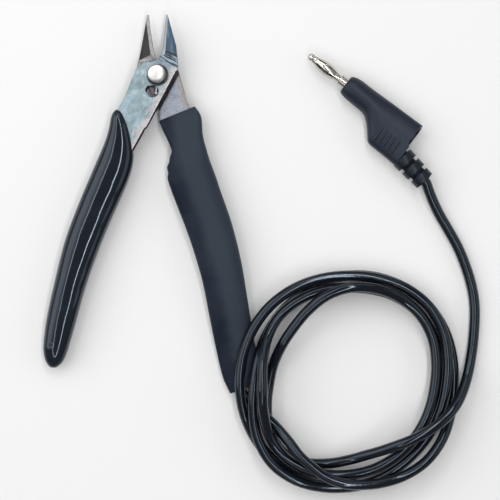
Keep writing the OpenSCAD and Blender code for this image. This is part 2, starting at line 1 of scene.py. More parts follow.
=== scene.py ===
import math
import bpy
from bpy.props import FloatProperty, FloatVectorProperty, PointerProperty
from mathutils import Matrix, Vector


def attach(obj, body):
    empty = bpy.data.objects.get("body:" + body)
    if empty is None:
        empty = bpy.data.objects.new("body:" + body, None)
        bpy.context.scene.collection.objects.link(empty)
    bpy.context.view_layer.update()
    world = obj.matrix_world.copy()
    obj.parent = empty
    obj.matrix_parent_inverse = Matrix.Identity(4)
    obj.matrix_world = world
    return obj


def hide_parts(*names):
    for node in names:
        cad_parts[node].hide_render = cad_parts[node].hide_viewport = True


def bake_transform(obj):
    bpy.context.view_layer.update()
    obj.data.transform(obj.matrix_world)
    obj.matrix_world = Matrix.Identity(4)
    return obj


bl_info = {
    "name": "Hot wire cutter",
    "version": (1, 0, 0),
    "blender": (4, 5, 0),
    "location": "View3D > Sidebar > Cutter",
    "description": "Dresses the packed cutter: steel halves, grips, sleeve, lead and plug",
    "category": "Object",
}

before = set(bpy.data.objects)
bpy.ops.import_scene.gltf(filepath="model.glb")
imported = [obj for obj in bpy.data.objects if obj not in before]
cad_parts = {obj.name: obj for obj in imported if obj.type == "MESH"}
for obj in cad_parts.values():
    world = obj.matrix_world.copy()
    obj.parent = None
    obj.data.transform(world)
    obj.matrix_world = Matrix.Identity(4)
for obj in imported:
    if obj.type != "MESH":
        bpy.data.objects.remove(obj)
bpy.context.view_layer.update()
MM = 0.001

# The lead's route in millimetres, as in the part's source
SLEEVE_END = [(22.85, -44.7, 3.5), (23.95, -50.1, 3.0), (25.05, -55.1, 2.8), (26.55, -59.9, 2.7),
              (29.2, -64.6, 2.6)]
HANDLE_LEAD = [(6.85, 12.9, 5.2), (7.35, 8.5, 5.2), (9.95, 1.8, 5.2), (12.45, -4.9, 5.2),
               (15.05, -11.5, 5.2), (17.15, -18.5, 5.2), (19.15, -25.4, 5.1), (20.55, -32.4, 4.8),
               (21.75, -39.4, 4.2), (22.85, -44.7, 3.5), (23.95, -50.1, 3.0)]
TAIL = [(32.0, -67.6, 2.8), (35.2, -70.9, 4.6), (39.0, -74.3, 6.1), (43.2, -78.4, 6.7),
        (47.0, -82.7, 8.8), (50.6, -87.3, 10.6), (55.0, -91.2, 11.4), (59.5, -94.4, 11.6),
        (64.1, -96.3, 11.6)]
COIL_KNOTS = [(34.0, 2.25), (37.1, 1.7), (36.7, 0), (39.2, 0), (38.3, 0), (34.75, 0),
              (33.6, 2.0), (38.5, 1.45), (35.5, 1), (32.65, 1), (33.65, 1), (39.0, 1),
              (38.3, 1), (39.4, 1.4), (38.5, 1.5), (37.8, 0), (36.2, 0), (32.2, 0),
              (31.5, 0), (34.9, 0), (34.1, 1), (34.6, 1.05), (30.75, 3.25), (33.8, 1.3),
              (31.1, 1.25), (28.8, 1.5), (29.5, 1.15), (34.6, 1.1), (34.3, 2.1), (28.3, 1.75),
              (28.3, 0), (33.4, 0), (26.0, 1.0)]
COIL_AT = (68.4, -63.2)
LAYER = 4.3
RUN = [(73.4, -87.6, 7.6), (78.4, -85.9, 9.8), (83.2, -84.0, 11.9), (87.9, -82.1, 13.2),
       (92.6, -79.9, 13.3), (97.3, -77.1, 12.6), (101.5, -73.8, 11.4), (105.1, -69.6, 9.8),
       (107.6, -65.2, 7.2), (109.6, -60.0, 4.4), (111.3, -52.7, 2.2), (112.2, -45.0, 1.85),
       (112.5, -37.6, 1.85), (112.0, -31.7, 1.85), (110.6, -25.7, 1.85), (108.7, -20.1, 1.85),
       (106.4, -14.7, 1.85), (103.2, -8.9, 1.85), (100.2, -3.8, 1.95), (97.9, 0.8, 2.7),
       (96.1, 5.0, 3.9)]
# Rows across the grip, from the pivot: left point, right point, middle height, half height, squareness
GRIP_ROWS = [
    (-13.75, -12.00, -13.35, -11.98, 6.4, 0.3, 2.0), (-14.75, -12.35, -12.65, -12.30, 6.4, 1.3, 2.1),
    (-15.55, -13.20, -12.00, -13.40, 6.35, 2.2, 2.2), (-16.15, -14.60, -11.35, -15.00, 6.3, 2.9, 2.3),
    (-16.60, -17.00, -10.30, -17.60, 6.2, 3.5, 2.4), (-17.05, -20.00, -9.25, -20.90, 6.0, 3.9, 2.4),
    (-18.20, -23.10, -8.35, -24.60, 5.8, 4.25, 2.4), (-19.55, -26.30, -7.85, -28.40, 5.6, 4.5, 2.4),
    (-20.80, -29.05, -8.40, -31.90, 5.4, 4.7, 2.4), (-22.60, -33.20, -9.90, -36.60, 5.2, 4.9, 2.4),
    (-27.10, -43.75, -15.35, -48.90, 5.0, 5.0, 2.4), (-32.40, -57.75, -20.60, -61.60, 5.0, 5.0, 2.4),
    (-35.90, -71.75, -25.20, -74.70, 5.0, 5.0, 2.4), (-39.00, -85.75, -28.90, -88.00, 4.7, 4.6, 2.4),
    (-40.10, -95.55, -31.50, -96.60, 4.3, 3.8, 2.4), (-39.20, -100.45, -33.40, -100.80, 4.2, 2.4, 2.3),
    (-37.60, -102.50, -35.60, -102.60, 4.2, 0.8, 2.2)]
# Rows across the sleeve, from the pivot: left point, right point, lowest, highest, squareness
SLEEVE_ROWS = [
    (0.45, -16.10, 13.10, -11.00, 1.6, 6.1, 10), (2.00, -19.60, 15.20, -14.35, 0.8, 7.6, 7),
    (4.30, -24.60, 15.80, -20.60, 0.6, 8.2, 5), (4.95, -27.00, 16.40, -23.40, 0.45, 8.6, 4.5),
    (4.30, -28.70, 17.00, -25.40, 0.3, 9.0, 4), (4.05, -30.60, 17.50, -27.20, 0.2, 9.5, 3.5),
    (3.35, -32.30, 18.00, -28.80, 0.05, 9.9, 3), (3.75, -34.20, 18.60, -30.60, 0.02, 10.2, 3),
    (3.50, -36.10, 19.20, -32.20, 0.02, 10.3, 3), (4.90, -40.60, 20.60, -36.00, 0.02, 10.35, 3),
    (6.30, -44.30, 21.70, -39.40, 0.02, 10.35, 3), (11.40, -57.75, 26.10, -52.15, 0.02, 10.35, 3),
    (15.60, -71.75, 29.40, -65.60, 0.02, 10.2, 3), (18.40, -85.75, 31.70, -79.45, 0.02, 8.6, 3),
    (20.50, -96.25, 33.60, -91.35, 0.02, 6.2, 3), (22.90, -106.05, 35.90, -101.50, 0.02, 5.4, 3),
    (25.40, -111.65, 37.00, -107.35, 0.02, 5.2, 3)]
# Rows along the plug's axis: place, lower side, upper side, half thickness, squareness
SHELL_ROWS = [
    (0.00, -2.90, 2.90, 2.90, 2.0), (0.15, -3.25, 3.25, 3.20, 2.0), (0.60, -3.60, 3.60, 3.50, 2.0),
    (1.60, -3.90, 4.00, 3.85, 2.0), (3.00, -4.10, 4.30, 4.10, 2.0), (5.00, -4.20, 4.40, 4.30, 2.0),
    (8.30, -4.25, 4.40, 4.35, 2.0), (10.20, -4.35, 4.45, 4.40, 2.0), (12.00, -4.90, 4.50, 4.40, 2.1),
    (13.60, -6.00, 4.55, 4.40, 2.25), (15.70, -8.10, 4.60, 4.40, 2.5), (17.40, -10.10, 4.65, 4.40, 2.8),
    (18.50, -11.20, 4.70, 4.40, 3.0), (19.60, -11.60, 4.70, 4.40, 3.0), (24.80, -11.70, 4.80, 4.40, 3.2),
    (29.00, -11.85, 4.90, 4.40, 3.3), (30.90, -11.90, 4.95, 4.40, 3.4)]
# Half thickness of the plug's barrel and of its wing's far side
BARREL, WING = 4.4, 3.75
PLUG_AT = Vector((67.0, 42.2, 4.5))
PLUG_TURN = math.radians(-38)
# The boot's root in the plug's own plane, and its tilt there
BOOT_ROOT = (30.9, -8.1)
BOOT_TILT = math.radians(-8)
PIVOT = Vector((1.05, 45.3, 0.0))
# The front half's lapping edge: the way it faces, and how far that way it lies from the origin in metres
LAP_WAY = Vector((0.88, -0.473, 0))
LAP_AT = -0.01491
# The rear half's outer edge and the sleeve's inner side, in the same way
RIM_WAY = Vector((0.956, 0.294, 0))
RIM_AT = 0.02144
SLEEVE_WAY = Vector((0.937, 0.349, 0))
SLEEVE_AT = 0.0074
# Dimple near the dipped grip's end, in metres
DIMPLE_AT = (-0.0359, -0.0491)
# Middle of the camera's view, in metres
VIEW_AT = (0.03343, -0.01593)
# Bluish sheen of the black plastics
SHEEN = (0.72, 0.86, 1.0, 1)


class CutterSizes(bpy.types.PropertyGroup):
    """Sizes of the dressed cutter"""
    lead_diameter: FloatProperty(name="Lead diameter", description="Diameter over the lead's insulation",
                                 default=0.0037, unit="LENGTH", subtype="DISTANCE")
    edge_round: FloatProperty(name="Steel edge", description="Rounding of the stamped steel's edges",
                              default=0.00018, unit="LENGTH", subtype="DISTANCE")
    edge_relief: FloatProperty(name="Lap relief", description="Chamfer along the front half's lapping edge",
                               default=0.00045, unit="LENGTH", subtype="DISTANCE")
    plastic_round: FloatProperty(name="Plastic edge", description="Rounding of the moulded plastic's edges",
                                 default=0.00035, unit="LENGTH", subtype="DISTANCE")
    sleeve_wall: FloatProperty(name="Sleeve wall", description="Wall of the shrink sleeve",
                               default=0.00055, unit="LENGTH", subtype="DISTANCE")
    sleeve_round: FloatProperty(name="Sleeve edge", description="Rounding of the sleeve's cut ends",
                                default=0.00012, unit="LENGTH", subtype="DISTANCE")
    spring_wire: FloatProperty(name="Spring wire", description="Diameter of the torsion spring's wire",
                               default=0.001, unit="LENGTH", subtype="DISTANCE")
    rivet_dome: FloatProperty(name="Rivet dome", description="Height of the rivet's domed head",
                              default=0.0015, unit="LENGTH", subtype="DISTANCE")
    camera_height: FloatProperty(name="Camera height", description="Camera's height over the table",
                                 default=0.62, unit="LENGTH", subtype="DISTANCE")
    view_width: FloatProperty(name="View width", description="Width in view at half the part's height",
                              default=0.175, unit="LENGTH", subtype="DISTANCE")


class CutterColours(bpy.types.PropertyGroup):
    """Colours of the dressed cutter"""
    steel_cool: FloatVectorProperty(name="Cool steel", description="Lighter blue-grey of the front half",
                                    subtype="COLOR", default=(0.265, 0.375, 0.425))
    steel_deep: FloatVectorProperty(name="Deep steel", description="Darker blue-grey of the front half",
                                    subtype="COLOR", default=(0.155, 0.225, 0.245))
    steel_warm: FloatVectorProperty(name="Warm steel", description="Pinkish side of the front half",
                                    subtype="COLOR", default=(0.48, 0.44, 0.455))
    steel_lilac: FloatVectorProperty(name="Lilac steel", description="Tint of the rear half",
                                     subtype="COLOR", default=(0.245, 0.27, 0.325))
    steel_straw: FloatVectorProperty(name="Straw steel", description="Heat tint along the rear half's edge",
                                     subtype="COLOR", default=(0.27, 0.215, 0.175))
    # Also the colour of the painted shadows round the rivet, along the lap and on the lap's chamfer
    steel_edge_and_shadow: FloatVectorProperty(name="Steel edge", description="Blackened cut edges of both halves",
                                    subtype="COLOR", default=(0.020, 0.018, 0.022))
    facet_front: FloatVectorProperty(name="Front facet", description="Blued facet of the right jaw",
                                     subtype="COLOR", default=(0.045, 0.080, 0.122))
    facet_rear: FloatVectorProperty(name="Rear facet", description="Dark facet of the left jaw",
                                    subtype="COLOR", default=(0.022, 0.020, 0.022))
    grip: FloatVectorProperty(name="Grip", description="Dipped grip", subtype="COLOR",
                              default=(0.0065, 0.009, 0.0145))
    sleeve: FloatVectorProperty(name="Sleeve", description="Shrink sleeve", subtype="COLOR",
                                default=(0.024, 0.0315, 0.0435))
    lead: FloatVectorProperty(name="Lead", description="Lead's insulation", subtype="COLOR",
                              default=(0.004, 0.005, 0.009))
    plug: FloatVectorProperty(name="Plug", description="Plug's plastic", subtype="COLOR",
                              default=(0.0108, 0.013, 0.0225))
    nickel: FloatVectorProperty(name="Nickel", description="Plated pin and cage", subtype="COLOR",
                                default=(0.60, 0.58, 0.52))
    floor: FloatVectorProperty(name="Floor", description="Table top", subtype="COLOR",
                               default=(0.815, 0.815, 0.815))


class Value:
    """A socket of a material's node tree that can be used in arithmetic"""

    def __init__(self, tree, socket):
        self.tree = tree
        self.socket = socket

    def math(self, operation, first, second=None):
        """Adds a math node that works on one or two values"""
        made = self.tree.nodes.new("ShaderNodeMath")
        made.operation = operation
        for slot, given in zip(made.inputs, (first, second)):
            if isinstance(given, Value):
                self.tree.links.new(given.socket, slot)
            elif given is not None:
                slot.default_value = given
        return Value(self.tree, made.outputs[0])

    def __add__(self, other):
        return self.math("ADD", self, other)

    def __radd__(self, other):
        return self.math("ADD", other, self)

    def __sub__(self, other):
        return self.math("SUBTRACT", self, other)

    def __rsub__(self, other):
        return self.math("SUBTRACT", other, self)

    def __mul__(self, other):
        return self.math("MULTIPLY", self, other)

    def __rmul__(self, other):
        return self.math("MULTIPLY", other, self)

    def root(self):
        """Square root of the value"""
        return self.math("SQRT", self)

    def most(self, other):
        """The larger of two values"""
        return self.math("MAXIMUM", self, other)


class Finish:
    """A material under construction: its shader, its nodes and its surface coordinates"""

    def __init__(self, name, colour, roughness, metallic=0.0, **constants):
        self.material = bpy.data.materials.new(name)
        self.material.use_nodes = True
        self.tree = self.material.node_tree
        self.shader = self.tree.nodes["Principled BSDF"]
        self.shader.inputs["Base Color"].default_value = (*colour, 1)
        self.shader.inputs["Roughness"].default_value = roughness
        self.shader.inputs["Metallic"].default_value = metallic
        for socket, number in constants.items():
            self.shader.inputs[socket.replace("_", " ")].default_value = number
        self.at = self.node("ShaderNodeTexCoord", out="Object")

    def node(self, kind, settings=None, out=0, **sockets):
        """Adds a node, sets it and feeds its sockets, named with _ for spaces or numbered after an i"""
        made = self.tree.nodes.new(kind)
        for key, given in (settings or {}).items():
            setattr(made, key, given)
        for key, given in sockets.items():
            slot = made.inputs[int(key[1:])] if key[0] == "i" and key[1:].isdigit() \
                else made.inputs[key.replace("_", " ")]
            if isinstance(given, Value):
                self.tree.links.new(given.socket, slot)
            else:
                slot.default_value = given
        return Value(self.tree, made.outputs[out])

    def noise(self, scale, detail=3.0, roughness=0.55, vector=None):
        """Cloudy pattern with so many waves a metre"""
        return self.node("ShaderNodeTexNoise", Vector=vector or self.at, Scale=scale, Detail=detail,
                         Roughness=roughness)

    def stretched(self, scale, turn=0.0):
        """Coordinates for a streaky pattern, turned first and then stretched"""
        turned = self.node("ShaderNodeVectorRotate", {"rotation_type": "Z_AXIS"},
                           Vector=self.at, Angle=turn)
        return self.node("ShaderNodeMapping", Vector=turned, Scale=scale)

    def across(self, axis):
        """One coordinate of the surface, in metres"""
        return self.node("ShaderNodeSeparateXYZ", out="XYZ".index(axis), Vector=self.at)

    def away(self, place):
        """Distance of the surface from a place, in metres"""
        return self.node("ShaderNodeVectorMath", {"operation": "DISTANCE"}, out=1, i0=self.at, i1=place)

    def past(self, way, at=0.0):
        """How far the surface lies past a distance from the origin, along a level direction"""
        return self.across("X") * way[0] + self.across("Y") * way[1] - at

    def step(self, given, low, high, start=0.0, end=1.0):
        """Smooth ramp from start to end as a value goes from low to high"""
        return self.node("ShaderNodeMapRange", {"interpolation_type": "SMOOTHSTEP"}, Value=given,
                         From_Min=low, From_Max=high, To_Min=start, To_Max=end)

    def mix(self, factor, first, second):
        """The first colour, going over to the second as the factor goes to 1"""
        a, b = [c if isinstance(c, Value) else (*c, 1) for c in (first, second)]
        return self.node("ShaderNodeMix", {"data_type": "RGBA"}, out=2, i0=factor, i6=a, i7=b)

    def feed(self, socket, given):
        """Links a value to one of the shader's sockets"""
        self.tree.links.new(given.socket, self.shader.inputs[socket])

    def bump(self, height, strength, distance):
        """Fine relief of the surface"""
        relief = self.node("ShaderNodeBump", Height=height, Strength=strength, Distance=distance)
        self.feed("Normal", relief)


def steel_front_finish(colours):
    """Stamped steel of the front half: blue-grey, pinkish toward its lap, blued and ground at the jaw, with
    painted shadow round the rivet and a pale line at the lap, partly painted highlight
    """
    f = Finish("steel_front", colours.steel_cool, 0.46, 0.6)
    mottle = f.noise(230, 4)
    cloud = f.noise(900, 5, 0.62)
    speck = f.noise(2300, 3, 0.6)
    lap = f.past(-LAP_WAY, -LAP_AT)
    plate = f.mix(f.step(f.noise(170, 3, 0.6), 0.36, 0.64), colours.steel_deep, colours.steel_cool)
    plate = f.mix(f.step(mottle, 0.38, 0.62, 0.0, 0.5), plate, (0.235, 0.28, 0.305))
    warm = f.step(lap + (mottle - 0.5) * 0.0052 + (cloud - 0.5) * 0.0036, 0.0010, 0.0034, 1.0, 0.0)
    plate = f.mix(warm * 0.9, plate, colours.steel_warm)
    scuff = f.noise(1300, 5, 0.65, f.stretched((1, 0.3, 1), 0.45))
    plate = f.mix(f.step(scuff, 0.50, 0.72, 0.0, 0.7), plate, (0.48, 0.52, 0.54))
    plate = f.mix(f.step(speck, 0.52, 0.66, 0.0, 0.7) * (0.3 + warm * 0.7), plate, (0.14, 0.13, 0.14))
    # Pale line at the lap edge: painted highlight, partly rubbed-bright steel
    lap_rub_and_highlight = f.step(lap + (cloud - 0.5) * 0.0004, 0.0002, 0.0006, 0.7, 0.0)
    plate = f.mix(lap_rub_and_highlight, plate, (0.70, 0.66, 0.66))
    # Painted shadow of the rivet's head: a dark ring round it, its centre set off to the lower right
    ring = f.step(f.away((0.00125, 0.0450, 0.00785)), 0.0036, 0.0041, 0.85, 0.0)
    plate = f.mix(ring, plate, colours.steel_edge_and_shadow)
    jaw = f.past((0.37, 1.0))
    lines = f.noise(1500, 3, 0.6, f.stretched((0.16, 1, 1), 0.55))
    scratch = f.mix(f.step(lines, 0.42, 0.60), (0.03, 0.045, 0.065), (0.27, 0.34, 0.40))
    root = f.step(jaw + (cloud - 0.5) * 0.0012, 0.0497, 0.0511)
    plate = f.mix(root, plate, scratch)
    blade = f.mix(f.step(f.noise(700, 3, 0.6, f.stretched((1, 0.14, 1), -0.10)), 0.45, 0.7, 0.0, 0.5),
                  colours.facet_front, (0.19, 0.27, 0.35))
    blade = f.mix(f.step(jaw, 0.0549, 0.0553, 1.0, 0.0), blade, (0.02, 0.025, 0.03))
    f.feed("Base Color", f.mix(f.step(jaw, 0.0542, 0.0545), plate, blade))
    f.feed("Roughness", f.step(cloud, 0.3, 0.7, 0.36, 0.54))
    f.bump(cloud + speck * 0.4, 0.2, 0.0001)
    return f.material


def steel_rear_finish(colours):
    """Stamped steel of the rear half: lilac-grey, straw along its edge, grainy head, with painted shadow
    along the front half's lap and painted shade in the spring's hole
    """
    f = Finish("steel_rear", colours.steel_lilac, 0.46, 0.6)
    x, y = f.across("X"), f.across("Y")
    cloud = f.noise(800, 5, 0.6)
    mottle = f.noise(300, 4)
    plate = f.mix(f.step(mottle, 0.4, 0.65, 0.0, 0.6), colours.steel_lilac, (0.30, 0.31, 0.345))
    rim = f.past(-RIM_WAY, -RIM_AT) + (mottle - 0.5) * 0.0012
    streak = f.step(f.noise(1500, 3, 0.6, f.stretched((1, 0.16, 1), -0.3)), 0.42, 0.6)
    edge = f.step(rim, 0.0008, 0.0022, 1.0, 0.0)
    plate = f.mix(edge * (0.25 + streak * 0.5), plate, colours.steel_straw)
    plate = f.mix(f.step(cloud, 0.5, 0.75, 0.0, 0.45), plate, (0.46, 0.45, 0.46))
    plate = f.mix(f.step(f.noise(1300, 4, 0.65), 0.50, 0.66, 0.0, 0.6), plate, (0.12, 0.12, 0.15))
    # Painted shadow of the front half's lapping edge: a dark band on the rear half beside it
    lap = f.past(-LAP_WAY, -LAP_AT) + (cloud - 0.5) * 0.0004
    lap_shadow = f.step(lap, -0.0012, -0.0008) * f.step(y, 0.046, 0.0475, 1.0, 0.0)
    plate = f.mix(lap_shadow * 0.95, plate, colours.steel_edge_and_shadow)
    # Painted shade at the bottom of the spring's hole in the front half
    hole_shade = f.step(f.away((0.0, 0.0393, 0.0052)), 0.0030, 0.0034, 0.9, 0.0)
    plate = f.mix(hole_shade, plate, (0.13, 0.125, 0.14))
    head = f.mix(f.step(cloud, 0.4, 0.65), (0.17, 0.17, 0.175), (0.37, 0.37, 0.375))
    strip = f.step(y, 0.0525, 0.0545)
    head = f.mix(strip, head, f.mix(f.step(cloud, 0.4, 0.7), (0.26, 0.26, 0.26), (0.38, 0.38, 0.38)))
    f.feed("Base Color", f.mix(f.step(x, 0.0012, 0.0024, 1.0, 0.0) * f.step(y, 0.047, 0.0485), plate, head))
    f.feed("Roughness", f.step(cloud, 0.3, 0.7, 0.38, 0.55))
    f.bump(cloud + f.noise(2600, 2) * 0.4, 0.2, 0.0001)
    return f.material


def steel_edge_finish(colours):
    """Blackened cut edge with a few rubbed spots; on the chamfer along the lap it is painted shadow"""
    f = Finish("steel_edge_and_shadow", colours.steel_edge_and_shadow, 0.5, 0.4)
    rubbed = f.step(f.noise(900, 4, 0.6), 0.58, 0.75)
    f.feed("Base Color", f.mix(rubbed * 0.5, colours.steel_edge_and_shadow, (0.10, 0.10, 0.11)))
    f.feed("Roughness", 0.5 - rubbed * 0.15)
    f.bump(f.noise(2200, 3), 0.2, 0.0001)
    return f.material


def facet_finish(name, colour, light, low, high):
    """Ground facet of a jaw: grinding lines along it, lighter steps at its root"""
    f = Finish(name, colour, 0.4, 0.55)
    y = f.across("Y")
    lines = f.noise(700, 3, 0.6, f.stretched((1, 0.12, 1)))
    steps = f.noise(520, 4, 0.6, f.stretched((0.35, 1, 1), 0.5))
    base = f.mix(f.step(lines, 0.48, 0.72, 0.0, 0.45), colour, light)
    root = f.step(y + (steps - 0.5) * 0.004, low, high, 1.0, 0.0)
    f.feed("Base Color", f.mix(root * f.step(steps, 0.42, 0.58, 0.35, 1.0), base, light))
    f.feed("Roughness", f.step(lines, 0.3, 0.7, 0.34, 0.5))
    f.bump(lines + f.noise(2600, 2) * 0.3, 0.15, 0.0001)
    return f.material


def fine_marks(f, smooth, rough, scratch):
    """Fine turning or wear marks on bright metal"""
    marks = f.noise(1500, 3, 0.5)
    f.feed("Roughness", f.step(marks, 0.3, 0.75, smooth, rough))
    f.bump(marks, scratch, 0.00005)


def bright_finish(name, colour, roughness, scratch):
    """Bright metal, duller in patches"""
    f = Finish(name, colour, roughness, 1.0)
    dull = f.step(f.noise(500, 3), 0.45, 0.8, 0.0, 0.4)
    f.feed("Base Color", f.mix(dull, colour, tuple(c * 0.72 for c in colour)))
    fine_marks(f, roughness * 0.7, roughness * 1.6, scratch)
    return f.material


def pin_finish(colours):
    """Plated pin, bright at its ball and collar, with painted shade on it under the cage"""
    f = Finish("pin_nickel", colours.nickel, 0.2, 1.0)
    root, way = plug_point(0, 0) * MM, plug_point(1, 0) - plug_point(0, 0)
    along = f.past(way, root.dot(way))
    # Painted shade on the core under the cage, so that the gaps between the leaves read dark
    core_shade = f.step(along, -0.0134, -0.0128) * f.step(along, -0.0052, -0.0044, 1.0, 0.0)
    f.feed("Base Color", f.mix(core_shade, colours.nickel, (0.02, 0.02, 0.018)))
    fine_marks(f, 0.14, 0.32, 0.06)
    return f.material


def rivet_finish():
    """Polished dome with painted shade at its rim, more on the lower right"""
    bright = (0.66, 0.65, 0.62)
    f = Finish("rivet_bright", bright, 0.4, 1.0)
    # Painted shade: the rim darker, measured from a centre set off to the upper left, so darkest on the
    # lower right
    rim = f.step(f.away((0.0005, 0.0459, 0.0088)), 0.0022, 0.0034)
    f.feed("Base Color", f.mix(rim, bright, (0.14, 0.14, 0.14)))
    fine_marks(f, 0.34, 0.46, 0.08)
    return f.material


def grip_finish(colours):
    """Glossy dipped coating: faint orange peel, slow waves, hazy patches and a dimple near the end"""
    f = Finish("dipped_gloss", colours.grip, 0.25, 0.0, Coat_Weight=0.2, Coat_Roughness=0.04, IOR=1.45,
               Specular_Tint=SHEEN)
    peel = f.noise(240, 3, 0.5)
    haze = f.step(f.noise(90, 4, 0.6), 0.4, 0.8)
    waves = f.noise(85, 1)
    x, y = f.across("X") - DIMPLE_AT[0], f.across("Y") - DIMPLE_AT[1]
    away = (x * x + y * y).root()
    dimple = f.step(away, 0.0004, 0.0009, 1.0, 0.0)
    rim = f.step(away, 0.0006, 0.0008) * f.step(away, 0.0009, 0.0012, 1.0, 0.0)
    film = f.mix(haze * 0.6, colours.grip, tuple(c * 1.9 for c in colours.grip))
    f.feed("Base Color", f.mix(rim * f.step(x, -0.0006, 0.0006), film, (0.09, 0.10, 0.12)))
    f.feed("Roughness", 0.05 + haze * 0.05 + dimple * 0.4)
    f.bump(peel * 0.10 + waves * 22.0 - dimple * 4.0, 0.12, 0.0002)
    return f.material


def sleeve_finish(colours):
    """Matt shrink tube: fine grain, slow waves, faint rubbed patches and painted shade on its inner side"""
    f = Finish("shrink_matt", colours.sleeve, 0.55, 0.0, IOR=1.3, Specular_Tint=SHEEN)
    grain = f.noise(3000, 3, 0.6)
    patch = f.step(f.noise(70, 4, 0.6), 0.4, 0.75)
    y = f.across("Y")
    # Painted shade: the sleeve darker along its inner side over the lead, the dark band wider at the neck
    # and narrower lower down
    lower, neck = (-0.015 - y).most(0.0), (y - 0.010).most(0.0)
    side = f.past(SLEEVE_WAY, SLEEVE_AT) + lower * 0.125 - neck * 0.16
    lit = f.step(side + (patch - 0.5) * 0.0012, 0.0028, 0.0072)
    dark = tuple(c * d for c, d in zip(colours.sleeve, (0.22, 0.28, 0.42)))
    film = f.mix(lit, dark, colours.sleeve)
    f.feed("Base Color", f.mix(patch * 0.4, film, tuple(c * 1.35 for c in colours.sleeve)))
    f.feed("Roughness", 0.50 + patch * 0.10 + (grain - 0.5) * 0.08)
    f.bump(grain * 0.25 + f.noise(120, 2) * 1.0, 0.16, 0.0003)
    return f.material


def lead_finish(colours):
    """Glossy flexible insulation, a little dusty"""
    f = Finish("lead_insulation", colours.lead, 0.20, 0.0, IOR=1.5, Specular_Tint=SHEEN)
    dust = f.step(f.noise(350, 4, 0.65), 0.5, 0.8)
    f.feed("Base Color", f.mix(dust * 0.5, colours.lead, tuple(c * 2.0 for c in colours.lead)))
    f.feed("Roughness", 0.10 + dust * 0.08)
    f.bump(f.noise(900, 2), 0.05, 0.0002)
    return f.material


def plug_finish(name, colour, roughness, ribbed=False):
    """Moulded plastic with a fine spark-eroded grain; a ribbed one gets painted shade between its ribs"""
    f = Finish(name, colour, roughness, 0.0, IOR=1.42, Specular_Tint=SHEEN)
    grain = f.noise(4200, 3, 0.6)
    wear = f.step(f.noise(200, 4, 0.6), 0.5, 0.8)
    film = f.mix(wear * 0.45, colour, tuple(c * 1.5 for c in colour))
    rough = roughness + (grain - 0.5) * 0.12 - wear * 0.06
    if ribbed:
        root = plug_point(*BOOT_ROOT) * MM
        turn = PLUG_TURN + BOOT_TILT
        way = Vector((-math.sin(turn), math.cos(turn), 0))
        side = f.past(way, root.dot(way))
        up = f.across("Z") - root.z
        # Painted shade between the boot's ribs, where its surface lies close to the axis
        groove_shade = f.step((side * side + up * up).root(), 0.0029, 0.0034, 1.0, 0.0)
        film = f.mix(groove_shade * 0.8, film, (0.0005, 0.0005, 0.0008))
        rough = rough + groove_shade * 0.4
    f.feed("Base Color", film)
    f.feed("Roughness", rough)
    f.bump(grain, 0.14, 0.00012)
    return f.material


def only(obj):
    """Leaves one object selected and active"""
    bpy.ops.object.select_all(action="DESELECT")
    obj.select_set(True)
    bpy.context.view_layer.objects.active = obj


def node_copy(node, name):
    """A merged copy of a CAD node's mesh, ready to be worked on"""
    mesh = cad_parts[node].data.copy()
    mesh.name = name
    mesh.materials.clear()
    obj = bpy.data.objects.new(name, mesh)
    bpy.context.scene.collection.objects.link(obj)
    only(obj)
    if mesh.has_custom_normals:
        bpy.ops.mesh.customdata_custom_splitnormals_clear()
    bpy.ops.object.mode_set(mode="EDIT")
    bpy.ops.mesh.select_all(action="SELECT")
    bpy.ops.mesh.remove_doubles(threshold=1e-6)
    bpy.ops.object.mode_set(mode="OBJECT")
    return obj


def worked(obj, kind, **settings):
    """Adds a modifier and applies it"""
    only(obj)
    made = obj.modifiers.new(kind.lower(), kind)
    for key, given in settings.items():
        setattr(made, key, given)
    bpy.ops.object.modifier_apply(modifier=made.name)


def flatten(obj):
    """Joins the flat triangles of a copied solid into whole faces"""
    only(obj)
    bpy.ops.object.mode_set(mode="EDIT")
    bpy.ops.mesh.select_all(action="SELECT")
    bpy.ops.mesh.dissolve_limited(angle_limit=math.radians(0.6))
    bpy.ops.object.mode_set(mode="OBJECT")


def rounded(obj, width, angle=32, segments=2, material=-1):
    """Rounds the sharp edges of a copied solid, with another of its finishes if one is given"""
    worked(obj, "BEVEL", width=width, segments=segments, limit_method="ANGLE", material=material,
           angle_limit=math.radians(angle), use_clamp_overlap=True, harden_normals=False)


def relieved(obj, facing, height, highest, width):
    """Chamfers the walls that face one way, over a height and up to the highest Y, with the second finish"""
    mesh = obj.data
    only(obj)
    bpy.ops.object.mode_set(mode="EDIT")
    bpy.ops.mesh.select_mode(type="EDGE")
    bpy.ops.mesh.select_all(action="DESELECT")
    bpy.ops.object.mode_set(mode="OBJECT")
    walls = {key for face in mesh.polygons if face.normal.dot(facing) > 0.85 for key in face.edge_keys}
    for one in mesh.edges:
        ends = [mesh.vertices[v].co for v in one.vertices]
        one.select = one.key in walls and all(e.z > height and e.y < highest for e in ends)
    bpy.ops.object.mode_set(mode="EDIT")
    bpy.ops.mesh.bevel(offset=width, segments=1, affect="EDGES", material=1)
    bpy.ops.object.mode_set(mode="OBJECT")


def shade(obj, degrees):
    """Smooth shading, with the edges kept that are sharper than an angle"""
    only(obj)
    bpy.ops.object.shade_smooth_by_angle(angle=math.radians(degrees))


def finished(obj, material, body, slot, *nodes):
    """Gives a piece its material and body, and hides the CAD nodes that it stands for"""
    obj.data.materials.clear()
    obj.data.materials.append(material)
    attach(obj, body)
    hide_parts(*nodes)


def catmull(a, b, c, d, t):
    """A smooth curve's value between b and c, from the four values round it"""
    return 0.5 * (2 * b + (c - a) * t + (2 * a - 5 * b + 4 * c - d) * t * t
                  + (3 * b - a - 3 * c + d) * t ** 3)


